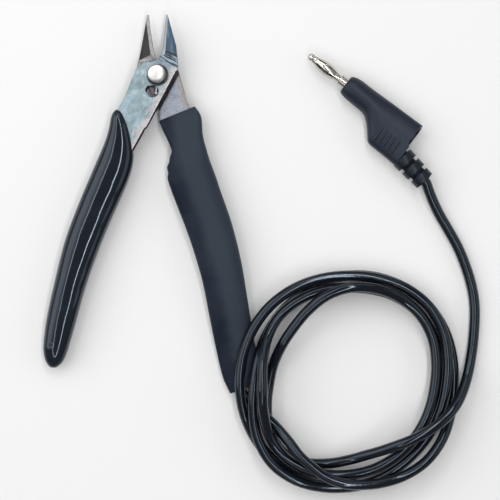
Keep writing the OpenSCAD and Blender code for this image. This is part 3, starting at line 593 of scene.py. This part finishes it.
def smooth_route(points, steps):
    """Points of a smooth line through the given ones"""
    p = [Vector(q) for q in points]
    n = len(p) - 1
    line = [catmull(p[max(i - 1, 0)], p[i], p[i + 1], p[min(i + 2, n)], j / steps)
            for i in range(n) for j in range(steps)]
    return line + [p[n]]


def rounded_square(square, sides):
    """Points round a unit form that is a circle at squareness 2 and boxier above it"""
    for k in range(sides):
        a = 2 * math.pi * (k + 0.5) / sides
        yield [math.copysign(abs(v) ** (2 / square), v) for v in (math.cos(a), math.sin(a))]


def section(left, right, middle, half, square, sides, droop=0.0):
    """Ring of points across a handle; droop lowers its top toward the left"""
    level = 0.15
    ring = []
    for u, w in rounded_square(square, sides):
        if w > 0:
            w *= 1 - droop * max(0.0, u - level) / (1 - level)
        spot = right.lerp(left, (1 + u) / 2)
        ring.append((PIVOT + Vector((spot.x, spot.y, middle + half * w))) * MM)
    return ring


def sleeve_ring(row, wall):
    """Ring of points round the sleeve, a wall's thickness inside its outer skin"""
    ax, ay, bx, by, low, high, square = row
    left, right = Vector((ax, ay)), Vector((bx, by))
    inward = (right - left).normalized() * wall
    middle, half = (low + high) / 2, (high - low) / 2 - wall
    return section(left + inward, right - inward, middle, half, square, sides=64, droop=0.3)


def loft(name, rings, closed=False):
    """A skin of four-sided faces over rings; a closed one joins its last ring to its first"""
    n = len(rings[0])
    faces = []
    for i in range(len(rings) if closed else len(rings) - 1):
        j = (i + 1) % len(rings)
        faces += [(i * n + k, i * n + (k + 1) % n, j * n + (k + 1) % n, j * n + k) for k in range(n)]
    if not closed:
        faces += [tuple(range(n - 1, -1, -1)), tuple(range((len(rings) - 1) * n, len(rings) * n))]
    mesh = bpy.data.meshes.new(name)
    mesh.from_pydata([p for ring in rings for p in ring], [], faces)
    obj = bpy.data.objects.new(name, mesh)
    bpy.context.scene.collection.objects.link(obj)
    only(obj)
    bpy.ops.object.mode_set(mode="EDIT")
    bpy.ops.mesh.select_all(action="SELECT")
    bpy.ops.mesh.normals_make_consistent(inside=False)
    bpy.ops.object.mode_set(mode="OBJECT")
    return obj


def smooth_rows(rows, spacing):
    """Rows of numbers with smooth ones between them, a given distance apart"""
    gaps = [math.dist(a[:2], b[:2]) for a, b in zip(rows, rows[1:])]
    n = len(rows) - 1

    def slope(i, c):
        """Slope of one column at a row, from the rows beside it"""
        low, high = max(i - 1, 0), min(i + 1, n)
        return (rows[high][c] - rows[low][c]) / sum(gaps[low:high])

    made = []
    for i, gap in enumerate(gaps):
        steps = max(1, round(gap / spacing))
        for t in (j / steps for j in range(steps)):
            rise, fall = t * t * (3 - 2 * t), 1 - t
            made.append([rows[i][c] * (1 - rise) + rows[i + 1][c] * rise
                         + gap * (slope(i, c) * t * fall * fall - slope(i + 1, c) * t * t * fall)
                         for c in range(len(rows[0]))])
    return made + [list(rows[n])]


def eased(rows, first, rounds):
    """Rows with their unevenness taken out, from the first given one to as far from the end"""
    for _ in range(rounds):
        rows = [row if not first <= i < len(rows) - first else
                [(a + 2 * b + c) / 4 for a, b, c in zip(rows[i - 1], row, rows[i + 1])]
                for i, row in enumerate(rows)]
    return rows


def coil_point(k, diameter):
    """A point of the coil, k knots of 45 degrees from its lowest point"""
    n = len(COIL_KNOTS) - 1
    i = min(int(k), n - 1)
    t = k - i
    around = [COIL_KNOTS[j][0] for j in (max(i - 1, 0), i, i + 1, min(i + 2, n))]
    r = catmull(*around, t)
    low, high = COIL_KNOTS[i][1], COIL_KNOTS[i + 1][1]
    h = low + (high - low) * t * t * (3 - 2 * t)
    a = math.radians(45 * k)
    return (COIL_AT[0] + r * math.sin(a), COIL_AT[1] - r * math.cos(a), diameter / 2 + LAYER * h)


def plug_point(x, y):
    """A point of the plug's own plane in the frame, in millimetres"""
    c, s = math.cos(PLUG_TURN), math.sin(PLUG_TURN)
    return PLUG_AT + Vector((x * c - y * s, x * s + y * c, 0))


def plug_at(x, y, z=0.0):
    """A point of the plug's own frame, in metres"""
    return (plug_point(x, y) + Vector((0, 0, z))) * MM


def shell_top(y):
    """Half thickness of the shell, which falls from the barrel to the wing's far side"""
    fall = 8
    t = min(max(-y / fall, 0), 1)
    return BARREL + (WING - BARREL) * t * t * (3 - 2 * t)


def shell_ring(place, low, high, half, square):
    """Ring of points round the plug's shell"""
    ring = []
    for u, w in rounded_square(square, 72):
        y = (low + high) / 2 + (high - low) / 2 * u
        ring.append(plug_at(place, y, half / BARREL * shell_top(y) * w))
    return ring


def finger_rib(place):
    """One raised rib across the shell's wing, tapered at both ends"""
    rows = ((-9.9, 0.06), (-9.8, 0.32), (-9.4, 0.45), (-7.2, 0.48), (-5.0, 0.45), (-4.6, 0.32), (-4.5, 0.06))
    flat, sides = 0.75, 12
    turns = [2 * math.pi * i / sides for i in range(sides)]
    return loft("rib", [[plug_at(place + r * math.cos(a), y, shell_top(y) + flat * r * math.sin(a))
                         for a in turns] for y, r in rows])


def joined(obj, other):
    """Joins another object's mesh into an object"""
    only(obj)
    other.select_set(True)
    bpy.ops.object.join()


def cut_away(obj, cutter):
    """Takes a cutter out of an object and deletes the cutter"""
    worked(obj, "BOOLEAN", operation="DIFFERENCE", object=cutter, solver="EXACT")
    bpy.data.objects.remove(cutter, do_unlink=True)


def around_pivot(r, a, z):
    """A point round the pivot, in millimetres"""
    return PIVOT + Vector((r * math.cos(a), r * math.sin(a), z))


def rivet_profile(dome):
    """Radii and heights of the rivet, from its foot up its shank and over its domed head"""
    foot, shank, head, rim, crown, lift = 3.0, 2.0, 3.55, 0.75, 0.4, 0.05
    bottom, ledge, seat = 1.55, 2.55, 7.9
    side = dome - crown - lift
    profile = [(foot, bottom), (foot, ledge), (shank, ledge), (shank, seat), (head - 0.2, seat)]
    profile += [(head - rim * (1 - math.cos(a)), seat + lift + side * math.sin(a))
                for a in (math.radians(d) for d in (0, 20, 40, 60, 75))]
    return profile + [(r, seat + dome - crown * (r / (head - rim)) ** 2) for r in (2.8, 2.3, 1.7, 1.1, 0.5)]


def turned(name, profile):
    """A turned piece on the pivot's axis, drawn up step by step through its radii and heights"""
    r, z = profile[0]
    bpy.ops.object.select_all(action="DESELECT")
    bpy.ops.mesh.primitive_circle_add(vertices=48, radius=r * MM, fill_type="NGON",
                                      location=around_pivot(0, 0, z) * MM)
    obj = bpy.context.object
    obj.name = obj.data.name = name
    bpy.ops.object.transform_apply(location=True)
    bpy.ops.object.mode_set(mode="EDIT")
    bpy.ops.mesh.select_all(action="SELECT")
    for radius, height in profile[1:]:
        bpy.ops.mesh.extrude_region_move(TRANSFORM_OT_translate={"value": (0, 0, (height - z) * MM)})
        bpy.ops.transform.resize(value=(radius / r, radius / r, 1),
                                 center_override=around_pivot(0, 0, height) * MM)
        r, z = radius, height
    bpy.ops.mesh.select_all(action="SELECT")
    bpy.ops.mesh.normals_make_consistent(inside=False)
    bpy.ops.object.mode_set(mode="OBJECT")
    return obj


def spring_route(low, high):
    """Torsion wire: a leg down into the rear half, a turn round the rivet, a leg up into the front half"""
    reach, loop, points = 6.45, 3.6, 40
    first, last = math.radians(-91.3), math.radians(266.5)
    bend, ease = math.radians(14), math.radians(5)
    leg = [(0, 1.5), (0, 0.8), (0.12, 0.3), (0.5, 0), (1.2, 0), (1.75, 0)]
    route = [around_pivot(reach - back, first, low - drop) for back, drop in leg]
    route.append(around_pivot(loop + 0.2, first + ease, low))
    for t in (i / points for i in range(points + 1)):
        angle = first + bend + t * (last - first - 2 * bend)
        route.append(around_pivot(loop, angle, low + t * (high - low)))
    route.append(around_pivot(loop + 0.2, last - ease, high))
    return route + [around_pivot(reach - back, last, high + rise) for back, rise in reversed(leg)]


def tube(name, line, diameter):
    """A round tube as a curve of one open line, given in millimetres"""
    curve = bpy.data.curves.new(name, "CURVE")
    curve.dimensions = "3D"
    curve.bevel_depth = diameter / 2
    curve.bevel_resolution = 5
    curve.use_fill_caps = True
    spline = curve.splines.new("POLY")
    spline.points.add(len(line) - 1)
    for point, place in zip(spline.points, line):
        point.co = (*(Vector(place) * MM), 1)
    spline.use_smooth = True
    obj = bpy.data.objects.new(name, curve)
    bpy.context.scene.collection.objects.link(obj)
    return obj


def studio_lamp(name, place, turn, size, energy):
    """A rectangular soft lamp"""
    lamp = bpy.data.lights.new(name, "AREA")
    lamp.shape = "RECTANGLE"
    lamp.size, lamp.size_y = size
    lamp.energy = energy
    obj = bpy.data.objects.new(name, lamp)
    obj.location = place
    obj.rotation_euler = turn
    bpy.context.scene.collection.objects.link(obj)


class CUTTER_OT_stage(bpy.types.Operator):
    """Camera over the table, pale floor and soft studio light"""
    bl_idname = "cutter.stage"
    bl_label = "Stage"

    def execute(self, context):
        sizes, colours = context.scene.cutter_sizes, context.scene.cutter_colours
        scene = context.scene
        scene.view_settings.view_transform = "Standard"
        view = bpy.data.cameras.new("camera")
        view.sensor_fit = "HORIZONTAL"
        half_height = 0.005
        view.lens = view.sensor_width * (sizes.camera_height - half_height) / sizes.view_width
        view.clip_end = 10
        camera = bpy.data.objects.new("camera", view)
        camera.location = (*VIEW_AT, sizes.camera_height)
        scene.collection.objects.link(camera)
        scene.camera = camera

        bpy.ops.object.select_all(action="DESELECT")
        bpy.ops.mesh.primitive_plane_add(size=6, location=(0, 0, -0.0002))
        floor = context.object
        floor.name = "floor"
        floor.data.materials.append(Finish("table_top", colours.floor, 0.7).material)
        bpy.ops.object.transform_apply(location=True)

        for name, place, size, energy in (
                ("window", (-0.62, 0.22, 0.62), (1.05, 1.10), 2.0),
                ("window_middle", (-0.64, 0.22, 0.60), (0.80, 1.10), 1.6),
                ("window_core", (-0.66, 0.22, 0.58), (0.50, 1.10), 1.4),
                ("back_panel", (0.10, 0.78, 0.52), (0.36, 0.90), 1.0),
                ("right_panel", (0.85, 0.05, 0.50), (0.50, 0.90), 1.2)):
            aim = -Vector(place)
            studio_lamp(name, place, aim.to_track_quat("-Z", "X").to_euler(), size, energy)
        # A long ring lamp in straight pieces draws two lines along every strand, brighter on the right
        pieces, wide, long, middle, height, band = 28, 0.23, 0.75, -0.05, 0.80, 0.055
        for a in (2 * math.pi * (k + 0.5) / pieces for k in range(pieces)):
            right, back = math.cos(a), math.sin(a)
            run = Vector((-wide * back, long * right))
            length = run.length * 2 * math.pi / pieces
            studio_lamp("ring", (middle + wide * right, long * back, height),
                        (0, 0, math.atan2(run.y, run.x)), (length, band),
                        length * (1.7 + 0.9 * right + 0.3 * back))
        world = bpy.data.worlds.new("studio")
        world.use_nodes = True
        sky = world.node_tree.nodes["Background"]
        sky.inputs["Color"].default_value = (1.0, 1.0, 1.0, 1)
        sky.inputs["Strength"].default_value = 0.22
        scene.world = world
        return {"FINISHED"}


class CUTTER_OT_lead(bpy.types.Operator):
    """Flexible lead from the sleeve through its coil to the plug"""
    bl_idname = "cutter.lead"
    bl_label = "Lead"

    def execute(self, context):
        sizes, colours = context.scene.cutter_sizes, context.scene.cutter_colours
        material = lead_finish(colours)
        d = sizes.lead_diameter / MM
        fine = 3
        coil = [coil_point(k / fine, d) for k in range(fine * (len(COIL_KNOTS) - 1) + 1)]
        boot = [plug_point(BOOT_ROOT[0] + s * math.cos(BOOT_TILT), BOOT_ROOT[1] + s * math.sin(BOOT_TILT))
                for s in (12, 6, 0, -6.9)]
        line = smooth_route(SLEEVE_END[2:] + TAIL + coil + RUN + boot, steps=4)
        lead = tube("lead", line, sizes.lead_diameter)
        finished(lead, material, "rear_half", "lead_insulation",
                 "lead_tail", "lead_coil", "lead_run", "plug_lead")
        lead["length"] = round(sum((b - a).length for a, b in zip(line, line[1:])) * MM, 3)
        inner = tube("sleeved_lead", smooth_route(HANDLE_LEAD, steps=4), sizes.lead_diameter)
        finished(inner, material, "rear_half", "lead_insulation", "handle_lead")
        return {"FINISHED"}


class CUTTER_OT_halves(bpy.types.Operator):
    """Stamped steel halves with softened edges"""
    bl_idname = "cutter.halves"
    bl_label = "Steel halves"

    def execute(self, context):
        sizes, colours = context.scene.cutter_sizes, context.scene.cutter_colours
        edge = steel_edge_finish(colours)
        light = facet_finish("strip_front", (0.36, 0.40, 0.43), (0.50, 0.54, 0.56), 0.0525, 0.0550)
        dark = facet_finish("facet_rear", colours.facet_rear, (0.062, 0.058, 0.06), 0.0500, 0.0515)
        for node, body, finishes in (
                ("front_blade", "front_half", (steel_front_finish(colours), edge, light)),
                ("rear_blade", "rear_half", (steel_rear_finish(colours), edge, dark))):
            half = node_copy(node, node.replace("blade", "half"))
            flatten(half)
            finished(half, finishes[0], body, "blade_steel", node)
            for finish in finishes[1:]:
                half.data.materials.append(finish)
            # Level faces keep the plate's finish, upright ones get the edge's and sloping ones the facet's
            for face in half.data.polygons:
                level = abs(face.normal.z)
                face.material_index = 0 if level > 0.985 else 1 if level < 0.3 else 2
            # The dark chamfer along the lap stands for the shadow that the front half casts on the rear one:
            # painted shadow
            if node == "front_blade":
                relieved(half, LAP_WAY, height=0.0077, highest=0.0467, width=sizes.edge_relief)
            rounded(half, sizes.edge_round, material=1)
            shade(half, 30)
        return {"FINISHED"}


class CUTTER_OT_pivot(bpy.types.Operator):
    """Domed rivet and the torsion spring round it"""
    bl_idname = "cutter.pivot"
    bl_label = "Pivot"

    def execute(self, context):
        sizes = context.scene.cutter_sizes
        rivet = turned("rivet", rivet_profile(sizes.rivet_dome / MM))
        shade(rivet, 50)
        finished(rivet, rivet_finish(), "rear_half", "rivet_steel", "pivot_rivet")

        low, high = 4.6, 5.8
        spring = tube("spring", smooth_route(spring_route(low, high), steps=3), sizes.spring_wire)
        only(spring)
        bpy.ops.object.convert(target="MESH")
        shade(spring, 60)
        spring.data.materials.clear()
        spring.data.materials.append(bright_finish("spring_bright", (0.40, 0.40, 0.42), 0.36, 0.05))
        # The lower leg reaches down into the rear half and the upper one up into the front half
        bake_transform(spring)
        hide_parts("return_spring")
        return {"FINISHED"}


class CUTTER_OT_grips(bpy.types.Operator):
    """Dipped grip on the left handle and the squeezed grip under the sleeve"""
    bl_idname = "cutter.grips"
    bl_label = "Grips"

    def execute(self, context):
        colours = context.scene.cutter_colours
        material = grip_finish(colours)
        rows = eased(smooth_rows(GRIP_ROWS, spacing=1.2), first=7, rounds=14)
        rings = [section(Vector((ax, ay)), Vector((bx, by)), middle, half, square, sides=48)
                 for ax, ay, bx, by, middle, half, square in rows]
        grip = loft("dipped_grip", rings)
        worked(grip, "SUBSURF", levels=1, render_levels=1)
        shade(grip, 60)
        finished(grip, material, "front_half", "dipped_grip", "left_grip")

        squeezed = node_copy("right_grip", "squeezed_grip")
        shade(squeezed, 60)
        finished(squeezed, material, "rear_half", "squeezed_grip", "right_grip")
        return {"FINISHED"}


class CUTTER_OT_sleeve(bpy.types.Operator):
    """Shrink sleeve over the right handle and the lead"""
    bl_idname = "cutter.sleeve"
    bl_label = "Shrink sleeve"

    def execute(self, context):
        sizes, colours = context.scene.cutter_sizes, context.scene.cutter_colours
        rows = smooth_rows(SLEEVE_ROWS, spacing=0.8)
        outside = [sleeve_ring(row, 0.0) for row in rows]
        inside = [sleeve_ring(row, sizes.sleeve_wall / MM) for row in rows]
        sleeve = loft("sleeve", outside + inside[::-1], closed=True)
        rounded(sleeve, sizes.sleeve_round, angle=50)
        shade(sleeve, 40)
        finished(sleeve, sleeve_finish(colours), "rear_half", "shrink_tube", "shrink_sleeve")
        return {"FINISHED"}


class CUTTER_OT_plug(bpy.types.Operator):
    """Stackable plug: moulded shell, ribbed boot, turned pin and sprung cage"""
    bl_idname = "cutter.plug"
    bl_label = "Plug"

    def execute(self, context):
        sizes, colours = context.scene.cutter_sizes, context.scene.cutter_colours
        shell = loft("shell", [shell_ring(*row) for row in smooth_rows(SHELL_ROWS, spacing=0.4)])
        first_rib, pitch, ribs = 19.6, 1.9, 5
        for k in range(ribs):
            joined(shell, finger_rib(first_rib + pitch * k))
        # Bores along the barrel: round the collar, round the contact's body, and the socket's mouth
        for r, start, end in ((1.97, -2.0, 1.7), (3.02, 1.6, 29.7), (3.9, 29.6, 33.0)):
            bpy.ops.object.select_all(action="DESELECT")
            bpy.ops.mesh.primitive_cylinder_add(vertices=48, radius=r * MM, depth=(end - start) * MM,
                                                location=plug_at((start + end) / 2, 0),
                                                rotation=(0, math.pi / 2, PLUG_TURN))
            cut_away(shell, context.object)
        # The slanting end of the barrel
        slant = math.radians(-8)
        bpy.ops.object.select_all(action="DESELECT")
        bpy.ops.mesh.primitive_cube_add(size=12 * MM, location=plug_at(36.3, 2.05),
                                        rotation=(0, slant, PLUG_TURN))
        cut_away(shell, context.object)
        shade(shell, 38)
        shell_plastic = plug_finish("shell_plastic", colours.plug, 0.42)
        finished(shell, shell_plastic, "rear_half", "plug_plastic", "plug_shell")

        boot = node_copy("strain_relief", "boot")
        flatten(boot)
        rounded(boot, sizes.plastic_round, angle=35, segments=3)
        shade(boot, 35)
        boot_colour = tuple(c * 0.6 for c in colours.plug)
        boot_plastic = plug_finish("boot_plastic", boot_colour, 0.36, ribbed=True)
        finished(boot, boot_plastic, "rear_half", "boot_plastic", "strain_relief")

        pin = node_copy("plug_contact", "pin")
        shade(pin, 35)
        finished(pin, pin_finish(colours), "rear_half", "contact_nickel", "plug_contact")
        lantern = node_copy("pin_cage", "lantern")
        shade(lantern, 35)
        cage_nickel = bright_finish("cage_nickel", colours.nickel, 0.2, 0.06)
        finished(lantern, cage_nickel, "cage", "cage_nickel", "pin_cage")

        on_lead = [shell, boot, pin, lantern]
        on_lead += [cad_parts[node] for node in ("plug_conductor", "plug_solder")]
        return {"FINISHED"}


class CUTTER_OT_joints(bpy.types.Operator):
    """Strands and solder at both ends of the lead, under the sleeve and in the shell"""
    bl_idname = "cutter.joints"
    bl_label = "Solder joints"

    def execute(self, context):
        strands = bright_finish("bare_copper", (0.72, 0.36, 0.22), 0.35, 0.2)
        solder = bright_finish("solder", (0.70, 0.70, 0.72), 0.30, 0.1)
        for node in ("handle_conductor", "plug_conductor", "handle_solder", "plug_solder"):
            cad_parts[node].data.materials.clear()
            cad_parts[node].data.materials.append(solder if "solder" in node else strands)
        return {"FINISHED"}


OPERATORS = (CUTTER_OT_stage, CUTTER_OT_lead, CUTTER_OT_halves, CUTTER_OT_pivot, CUTTER_OT_grips,
             CUTTER_OT_sleeve, CUTTER_OT_plug, CUTTER_OT_joints)


class CUTTER_PT_panel(bpy.types.Panel):
    """Lists the steps that dress the cutter"""
    bl_label = "Cutter"
    bl_space_type = "VIEW_3D"
    bl_region_type = "UI"
    bl_category = "Cutter"

    def draw(self, context):
        for operator in OPERATORS:
            self.layout.operator(operator.bl_idname)
        for group in (context.scene.cutter_sizes, context.scene.cutter_colours):
            for name in group.bl_rna.properties.keys():
                if name not in ("rna_type", "name"):
                    self.layout.prop(group, name)


CLASSES = (CutterSizes, CutterColours, *OPERATORS, CUTTER_PT_panel)


def register():
    """Adds the classes and the scene's sizes and colours"""
    for cls in CLASSES:
        bpy.utils.register_class(cls)
    bpy.types.Scene.cutter_sizes = PointerProperty(type=CutterSizes)
    bpy.types.Scene.cutter_colours = PointerProperty(type=CutterColours)


def unregister():
    """Takes them out again"""
    del bpy.types.Scene.cutter_colours
    del bpy.types.Scene.cutter_sizes
    for cls in reversed(CLASSES):
        bpy.utils.unregister_class(cls)


def main():
    """Dresses the part"""
    register()
    bpy.ops.cutter.stage()
    bpy.ops.cutter.lead()
    bpy.ops.cutter.halves()
    bpy.ops.cutter.pivot()
    bpy.ops.cutter.grips()
    bpy.ops.cutter.sleeve()
    bpy.ops.cutter.plug()
    bpy.ops.cutter.joints()


if __name__ == "__main__":
    main()
